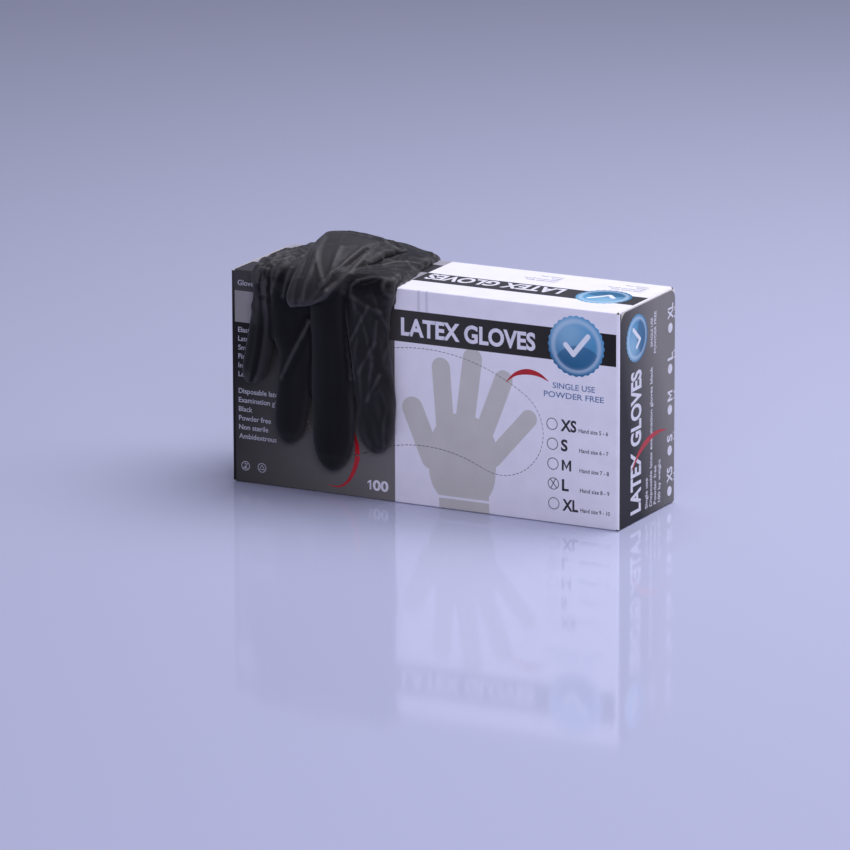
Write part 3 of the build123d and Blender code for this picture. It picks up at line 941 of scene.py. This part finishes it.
def one_skin(name, parts, voxel):
    """Joins overlapping closed skins into one, on a grid of cubes of this size, in mm."""
    points, faces = joined(parts)
    rough = new_piece(name, points * MM, faces, None)
    modifier = rough.modifiers.new("one_skin", "REMESH")
    modifier.mode = "VOXEL"
    modifier.voxel_size = voxel * MM
    points, faces = finished_shape(rough)
    rough_mesh = rough.data
    bpy.data.objects.remove(rough)
    bpy.data.meshes.remove(rough_mesh)
    return points / MM, np.array(faces)


def neighbours_mean(values, faces):
    """The mean of the values at each point's neighbours round the quads' edges."""
    ends = np.concatenate([faces, np.roll(faces, 1, axis=1)]).ravel()
    others = np.concatenate([np.roll(faces, 1, axis=1), faces]).ravel()
    count = np.bincount(ends, minlength=len(values))
    sums = [np.bincount(ends, column[others], len(values)) for column in values.T]
    return np.stack(sums, axis=1) / count[:, None]


def relaxed(points, faces, times):
    """Evens a skin out: each turn moves every point towards its neighbours, then a little
    less far back, so that facets go but the volume stays."""
    for _ in range(times):
        for share in (0.55, -0.52):
            points = points + share * (neighbours_mean(points, faces) - points)
    return points


def skin_normals(points, faces):
    """Unit normals of the points, each the sum of its quads' normals."""
    a, b, c, d = (points[faces[:, k]] for k in range(4))
    square = np.cross(c - a, d - b)
    sums = [np.bincount(faces.ravel(), np.repeat(square[:, k], 4), len(points)) for k in range(3)]
    normals = np.stack(sums, axis=1)
    return normals / np.linalg.norm(normals, axis=1, keepdims=True)


lattice = 32  # cells along each side of the noise, before it repeats
slopes = np.random.default_rng(4).normal(size=(lattice, lattice, lattice, 3))
slopes /= np.linalg.norm(slopes, axis=-1, keepdims=True)


def ripple(points, scale, shift):
    """Smooth noise from about -1 to 1, with waves of this size along X, Y and Z in mm.

    Every corner of a grid of cells has a slope. The noise is how high the slopes of a
    cell's eight corners have risen at the point, mixed by smooth steps between them.
    """
    places = points / np.array(scale) + shift
    cell = np.floor(places).astype(int)
    within = places - cell
    ease = within**2 * (3 - 2 * within)
    height = np.zeros(len(points))
    for corner in np.ndindex(2, 2, 2):
        slope = slopes[tuple(((cell + corner) % lattice).T)]
        weight = np.prod(np.where(corner, ease, 1 - ease), axis=1)
        height += weight * np.einsum("ij,ij->i", slope, within - corner)
    return 1.5 * height


def crests(points, scale, width, shift):
    """Sharp crests where the noise passes through nought: (1 - |noise| / width)^2.

    Limp film stands up in such creases between smooth hollows.
    """
    return np.clip(1 - np.abs(ripple(points, scale, shift)) / width, 0, 1) ** 2


def near_fold(points, normals, route, width):
    """How near points are to a route over the skin: (1 - distance / width)^2, and nought
    beyond. The distance is along the skin, so a route a little above or under it counts."""
    nearest = np.zeros(len(points))
    reach = 2.5  # a route this far off the skin counts in full, and one twice as far not
    for start, end in zip(route[:-1], route[1:]):
        start, run = np.array(start, float), np.array(end, float) - np.array(start, float)
        share = np.clip((points - start) @ run / (run @ run), 0, 1)
        offset = points - start - share[:, None] * run
        rise = np.einsum("ij,ij->i", offset, normals)
        away = np.linalg.norm(offset - rise[:, None] * normals, axis=1)
        seen = np.clip(2 - np.abs(rise) / reach, 0, 1)
        nearest = np.maximum(nearest, np.clip(1 - away / width, 0, 1) ** 2 * seen)
    return nearest


# Folds that can be picked out one by one: a route over the skin, half width and rise, in mm.
fold_lines = [
    # Down the ring finger, across the index finger's root, and down the index finger.
    ([(-67, -43, 99), (-84, -44, 66)], 4.0, 1.5),
    ([(-46, -41, 118), (-19, -30, 126)], 3.5, 1.0),
    ([(-44, -42, 112), (-39, -45, 70)], 3.0, 0.9),
    ([(-34, -44, 108), (-27, -45, 84)], 3.0, 0.8),
    ([(-24, -44, 104), (-29, -45, 60)], 3.0, 0.7),
    ([(-29, -45, 112), (-40, -45, 92)], 2.4, 0.9),
    ([(-25, -45, 92), (-35, -45, 74)], 2.4, 0.8),
    ([(-22, -45, 74), (-30, -45, 58)], 2.4, 0.7),
    ([(-41, -44, 117), (-31, -44.5, 112.5), (-22, -44, 109.5)], 3.2, 0.8),
    # The thumb's side, folded forward: its left fold, its lower hem, and rays from the tip.
    ([(-73.4, -11.5, 139.4), (-66.6, -35.6, 133.1), (-65.1, -45.6, 126.4), (-65.8, -52.6, 114)],
     2.6, 1.5),
    ([(-78, -12, 137.5), (-71.4, -36, 131), (-69.8, -45, 124), (-70.2, -51, 112)], 2.6, -1.3),
    ([(-53.3, -49.3, 117.5), (-44.2, -37.5, 127.9), (-45, -8.9, 134.8)], 2.2, 1.3),
    ([(-55.3, -48.7, 119.2), (-47.2, -35.9, 129.3), (-47, -10.5, 135.5)], 2.0, -1.5),
    ([(-57.2, -48.8, 121.4), (-50.4, -34.6, 131), (-48.8, -12.8, 136.6)], 2.2, 1.3),
    ([(-53.5, -49, 118.4), (-62.1, -41, 129.8), (-72.6, -23.3, 136.9)], 2.4, 0.9),
    ([(-53.5, -49, 118.4), (-54.6, -38.5, 130), (-59.1, -19.6, 137.6)], 2.4, 0.9),
    # The crumpled side, between the thumb and the little finger.
    ([(-96.5, -42.7, 112), (-94.6, -36, 127), (-88.8, -20.1, 127.6)], 2.8, 1.7),
    ([(-89.8, -42.9, 114), (-85.2, -36.9, 127.5), (-84, 8, 129)], 2.8, 1.7),
    ([(-92.5, -42, 108), (-92.8, -42, 121)], 2.4, -1.2),
    ([(-101.3, -42, 118), (-97, -27, 128), (-99, 2, 128)], 2.8, 1.7),
    ([(-83, -42, 112), (-80, -38, 126)], 2.4, 1.2),
    ([(-40, -24, 130), (-22, 6, 128)], 3.0, 1.4),
    ([(-38, -28, 128), (-30, -6, 130)], 2.6, 1.2),
]


def crumpled(points, faces):
    """Raises the glove's folds and ripples, each region with its own wave size and height.

    It gives the points, and how much paler each is painted: a painted highlight on the folds,
    partly standing for film thinned by stretching.
    """
    normals = skin_normals(points, faces)
    x, y, z = points.T
    lift = np.zeros(len(points))

    on_top = ramp(z, 112, 124)
    hanging = 1 - on_top
    behind = ramp(y, 30, 36)
    index = hanging * ramp(x, -43, -38) * ramp(-y, 30, 36)
    little = ramp(-x, 86, 92) * ramp(z, 90, 106)
    hood = ramp(-y, -8, 6) * ramp(-x, 40, 46) * ramp(x, -84, -80)
    crumple = on_top * (1 - behind) * (1 - 0.85 * hood)

    turned = np.stack([x * 0.9 + z * 0.3, y, z * 0.9 - x * 0.4], axis=1)
    lift += index * 0.8 * ripple(turned, (5.5, 9.0, 22.0), 3.1)
    lift += index * 0.5 * crests(points, (8, 9, 20), 0.4, 8.7)
    sharp = crests(points, (15, 17, 13), 0.26, 1.7)
    lift += crumple * (1.2 * sharp + 0.35 * crests(points, (7, 8, 6), 0.3, 5.2))
    lift += 0.8 * ripple(points, (22, 24, 30), 9.1) * crumple
    lift += little * 0.9 * crests(points, (8, 9, 18), 0.35, 2.2)
    lift += hanging * 0.4 * ripple(points, (12, 14, 40), 4.4)
    lift += behind * 0.6 * crests(points, (12, 20, 60), 0.5, 6.3)
    for route, width, rise in fold_lines:
        lift += rise * near_fold(points, normals, route, width)

    folded_forward = hood * np.maximum(ramp(z, 117, 122), ramp(-y, 46.6, 47.8))
    # Painted highlight on the lit folds, partly standing for thinner film where it is stretched.
    paler = 0.42 * folded_forward + 0.22 * index + 0.16 * little
    highlight_patches = 0.3 * sharp + 0.3 * ramp(ripple(points, (9, 12, 9), 6.6), 0.0, 0.5)
    paler += crumple * ramp(-x, 68, 84) * highlight_patches
    return points + normals * lift[:, None], paler


glove_voxel = 0.85  # fine enough for the wall of the cuff
glove_parts = [palm_over_top(), thumb_hood(), gaping_cuff(), *fingers.values()]
skin_points, skin_faces = one_skin("glove_blocks", glove_parts, glove_voxel)
skin_points = relaxed(skin_points, skin_faces, 4)
skin_points, paler = crumpled(skin_points, skin_faces)
skin_points = relaxed(skin_points, skin_faces, 2)

# How far each point stands proud of its neighbours, evened out over the skin.
proud = skin_points - neighbours_mean(skin_points, skin_faces)
bend = np.einsum("ij,ij->i", proud, skin_normals(skin_points, skin_faces))
for _ in range(3):
    bend = 0.5 * bend + 0.5 * neighbours_mean(bend[:, None], skin_faces)[:, 0]


def black_latex():
    """Black latex: near-black film with a soft sheen, and a painted highlight in pale grey on
    folds and crests, partly standing for film thinned by stretching, with the finest grain of
    the dipped surface."""
    material, tree = new_material("black_latex")
    coordinates = add(tree, "TexCoord", output=3)
    millimetres = add(tree, "VectorMath", {0: coordinates, "Scale": 1 / MM}, operation="SCALE")
    crest = add(tree, "Attribute", output=2, attribute_name="crest")
    cloud = add(tree, "TexNoise", {"Vector": millimetres, "Scale": 0.08, "Detail": 5.0})
    grain = add(tree, "TexNoise", {"Vector": millimetres, "Scale": 1.4, "Detail": 6.0})
    shade = fade(tree, cloud, 0.3, 0.7, "#060607", "#0E0D10")
    # Painted highlight: pale grey mixed in as far as the crest attribute says.
    painted_highlight_mix = add(tree, "MapRange", [crest, 0.0, 1.0, 0.0, 0.75])
    colour = ink(tree, shade, painted_highlight_mix, "#484645")
    rough = add(tree, "MapRange", [cloud, 0.3, 0.7, 0.4, 0.5])
    bump = add(tree, "Bump", {"Strength": 0.12, "Distance": 0.3 * MM, "Height": grain})
    film = {"Base Color": colour, "Roughness": rough, "IOR": 1.24, "Normal": bump}
    film |= {"Sheen Weight": 0.08, "Sheen Roughness": 0.5}
    add(tree, "OutputMaterial", {"Surface": add(tree, "BsdfPrincipled", film)})
    return material


latex = black_latex()
draped_glove = new_piece("draped_glove_skin", skin_points * MM, skin_faces, latex)
# The crest attribute carries the painted highlight: points proud of their neighbours, and the
# painted regions.
crest = draped_glove.data.attributes.new("crest", "FLOAT", "POINT")
full_crest = 0.1  # how far a point stands proud where the painted highlight is at its full, in mm
painted_highlight_amount = np.clip(bend / full_crest, 0, 1) + paler
crest.data.foreach_set("value", np.clip(painted_highlight_amount, 0, 1).astype(np.float32))
for node_name in ("glove_palm", "glove_knuckles", "glove_cuff", "thumb", *fingers):
    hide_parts(node_name)
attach(draped_glove, "draped_glove")


def cuff_rim():
    """The rolled bead: a round section carried round the flattened mouth of the cuff."""
    count, bead_radius = 260, 1.25
    around = np.linspace(0, 2 * math.pi, count, endpoint=False)
    wave = 0.5 * np.sin(7 * around + 0.4) + 0.3 * np.sin(12 * around)
    x = cuff_middle + 38.7 * rounded(np.cos(around), 0.55)
    lift = 4.0 + 2.6 * rounded(np.sin(around), 0.6)
    middle = over_carton(112.6 + 0.5 * wave, x, lift)
    run = np.roll(middle, -1, axis=0) - np.roll(middle, 1, axis=0)
    run /= np.linalg.norm(run, axis=1, keepdims=True)
    side = np.cross(run, z_axis)
    side /= np.linalg.norm(side, axis=1, keepdims=True)
    over = np.cross(side, run)
    turn = np.linspace(0, 2 * math.pi, 14, endpoint=False)[None, :, None]
    section = side[:, None] * np.cos(turn) + over[:, None] * np.sin(turn)
    tube = middle[:, None] + bead_radius * section
    return tube.reshape(-1, 3), grid_faces(count, 14, round_rows=True, round_columns=True)


rim_points, rim_faces = cuff_rim()
rim = new_piece("rolled_cuff_rim", rim_points * MM, rim_faces, latex)
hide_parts("cuff_bead")
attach(rim, "draped_glove")

# ---------------------------------------------------------------------------------------
# Packed gloves: a hundred flat gloves, interleaved in decks of eleven, whose leaves show
# along the decks' edges. The one behind the opening is rumpled where fingers reach for it.
# ---------------------------------------------------------------------------------------


def deck(low, high, leaves, rumple):
    """A deck as rings round its own middle: out over its front, in and out over the edges
    of its leaves, and back in behind. Its outline is a rectangle with eased corners, and
    all of it waves by sines of its place, so that decks nest."""
    low, high = np.array(low) / MM, np.array(high) / MM
    middle, half = (low + high) / 2, (high - low) / 2
    columns, front_rows = (240, 60) if rumple else (120, 12)  # finer where it is rumpled
    turn = np.linspace(0, 2 * math.pi, columns, endpoint=False)[None, :]
    rim_steps = 4 * leaves + 1
    out, back = np.linspace(0.02, 1, front_rows), np.linspace(1, 0.02, 12)
    share = np.concatenate([out, np.ones(rim_steps), back])
    level = np.concatenate([0 * out, np.linspace(0, 1, rim_steps), 0 * back + 1])
    inset = (1.2 - np.sin(math.pi * leaves * level) ** 2)[:, None]
    x = middle[0] + share[:, None] * (half[0] - inset) * rounded(np.cos(turn), 0.35)
    z = middle[2] + share[:, None] * (half[2] - inset) * rounded(np.sin(turn), 0.35)
    y = low[1] + 2 * half[1] * level[:, None] + 0 * x
    y += 0.12 * np.sin(x / 19.0 + 0.6) * np.sin(z / 13.0) - 0.05
    skin, faces = loft(np.stack([x, y, z], axis=-1))
    if rumple:
        creases = crests(skin, (16, 30, 11), 0.35, 4.4)
        swells = ripple(skin, (34, 40, 26), 7.7) + 1
        out_from_middle = (skin - middle) / half
        inwards = np.clip(1.1 - np.hypot(out_from_middle[:, 0], out_from_middle[:, 2]), 0, 1)
        front = skin[:, 1] < middle[1]
        skin[:, 1] -= front * np.minimum(inwards * 2.5, 1) * (1.4 * creases + 0.9 * swells)
    return skin, faces


first_low, first_high = (np.array(corner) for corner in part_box("first_glove"))
leaf_points, leaf_faces = deck(first_low, first_high, 1, rumple=True)
first_leaf = new_piece("rumpled_first_glove", leaf_points * MM, leaf_faces, latex)
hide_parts("first_glove")
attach(first_leaf, "carton")

stack_low, stack_high = (np.array(corner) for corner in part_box("glove_stack"))
deck_count, leaves_in_deck = 9, 11
deck_gap = 0.1 * MM
decks = []
for number in range(deck_count):
    low, high = stack_low.copy(), stack_high.copy()
    low[1] += (stack_high[1] - stack_low[1]) * number / deck_count
    high[1] = low[1] + (stack_high[1] - stack_low[1]) / deck_count - deck_gap
    decks.append(deck(low, high, leaves_in_deck, rumple=False))
deck_points, deck_faces = joined(decks)
packed = new_piece("packed_glove_decks", deck_points * MM, deck_faces, latex)
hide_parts("glove_stack")
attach(packed, "carton")

# ---------------------------------------------------------------------------------------
# Hot-melt glue: amber dabs on the end flaps and a bead along the tube's seam, glossy where
# they set against the air and a little cloudy inside.
# ---------------------------------------------------------------------------------------
hot_melt, tree = new_material("hot_melt_glue")
coordinates = add(tree, "TexCoord", output=3)
cloud = add(tree, "TexNoise", {"Vector": coordinates, "Scale": 0.6 / MM, "Detail": 3.0})
glue_colour = fade(tree, cloud, 0.35, 0.65, "#CDB98A", "#E2D3AC")
lumps = add(tree, "TexNoise", {"Vector": coordinates, "Scale": 0.25 / MM, "Detail": 2.0})
glue_bump = add(tree, "Bump", {"Strength": 0.3, "Distance": 0.4 * MM, "Height": lumps})
glossy = {"Base Color": glue_colour, "Roughness": 0.3, "IOR": 1.48, "Normal": glue_bump}
add(tree, "OutputMaterial", {"Surface": add(tree, "BsdfPrincipled", glossy)})
for node_name in ("seam_glue", "left_end_glue", "right_end_glue"):
    dress(node_name, hot_melt)

# ---------------------------------------------------------------------------------------
# Studio: a pale satin floor, a large soft light overhead and a weak cool fill all round.
# ---------------------------------------------------------------------------------------
floor_material, tree = new_material("pale_satin_floor")
satin = {"Base Color": linear("#BDC1D8"), "Roughness": 0.07, "IOR": 1.5}
add(tree, "OutputMaterial", {"Surface": add(tree, "BsdfPrincipled", satin)})
half = 4.0
floor_corners = [(-half, -half, 0), (half, -half, 0), (half, half, 0), (-half, half, 0)]
floor = new_piece("floor", floor_corners, [(0, 1, 2, 3)], floor_material, smooth=False)
floor.location.z = -0.2 * MM

world = bpy.data.worlds.new("studio_fill")
world.use_nodes = True
background = world.node_tree.nodes["Background"]
background.inputs["Color"].default_value = linear("#B5B6D0")
background.inputs["Strength"].default_value = 0.34
bpy.context.scene.world = world


def soft_light(name, place, aim, size, power, colour, mirrored):
    """Adds a square area light at a place, aimed at a point. One that isn't mirrored leaves
    no bright patch on the floor when the object is seen from behind."""
    light = bpy.data.lights.new(name, "AREA")
    light.shape = "RECTANGLE"
    light.size, light.size_y = size
    light.energy = power
    light.color = linear(colour)[:3]
    lamp = bpy.data.objects.new(name, light)
    lamp.location = place
    lamp.rotation_mode = "QUATERNION"
    lamp.rotation_quaternion = (Vector(aim) - Vector(place)).to_track_quat("-Z", "Y")
    lamp.visible_camera = False
    lamp.visible_glossy = mirrored
    bpy.context.scene.collection.objects.link(lamp)


soft_light("overhead", (0.35, 0.45, 1.3), (0, 0, 0.1), (1.5, 1.3), 28.0, "#F4F3FF", True)
soft_light("front_fill", (0.9, -1.6, 0.9), (0, 0, 0.06), (1.2, 0.9), 16.0, "#E6E2FF", False)

azimuth, elevation, roll = math.radians(27.42), math.radians(14.4), math.radians(-0.172)
distance = 3.878
left_shift, down_shift = 0.01529, 0.02381  # of the point it looks at, in its own frame
towards_camera = Vector(
    (
        math.sin(azimuth) * math.cos(elevation),
        -math.cos(azimuth) * math.cos(elevation),
        math.sin(elevation),
    )
)
level_turn = (-towards_camera).to_track_quat("-Z", "Y")
camera_turn = level_turn @ Matrix.Rotation(roll, 4, "Z").to_quaternion()
camera_right, camera_up = camera_turn @ Vector(x_axis), camera_turn @ Vector(y_axis)
aim = Vector((0, 0, 0.0625)) - left_shift * camera_right - down_shift * camera_up
camera = bpy.data.objects.new("camera", bpy.data.cameras.new("camera"))
camera.data.sensor_width = 36.0
camera.data.lens = 295.96
camera.data.clip_start, camera.data.clip_end = 0.1, 50.0
camera.rotation_mode = "QUATERNION"
camera.rotation_quaternion = camera_turn
camera.location = aim + distance * towards_camera
bpy.context.scene.collection.objects.link(camera)
bpy.context.scene.camera = camera
bpy.context.scene.view_settings.view_transform = "Standard"
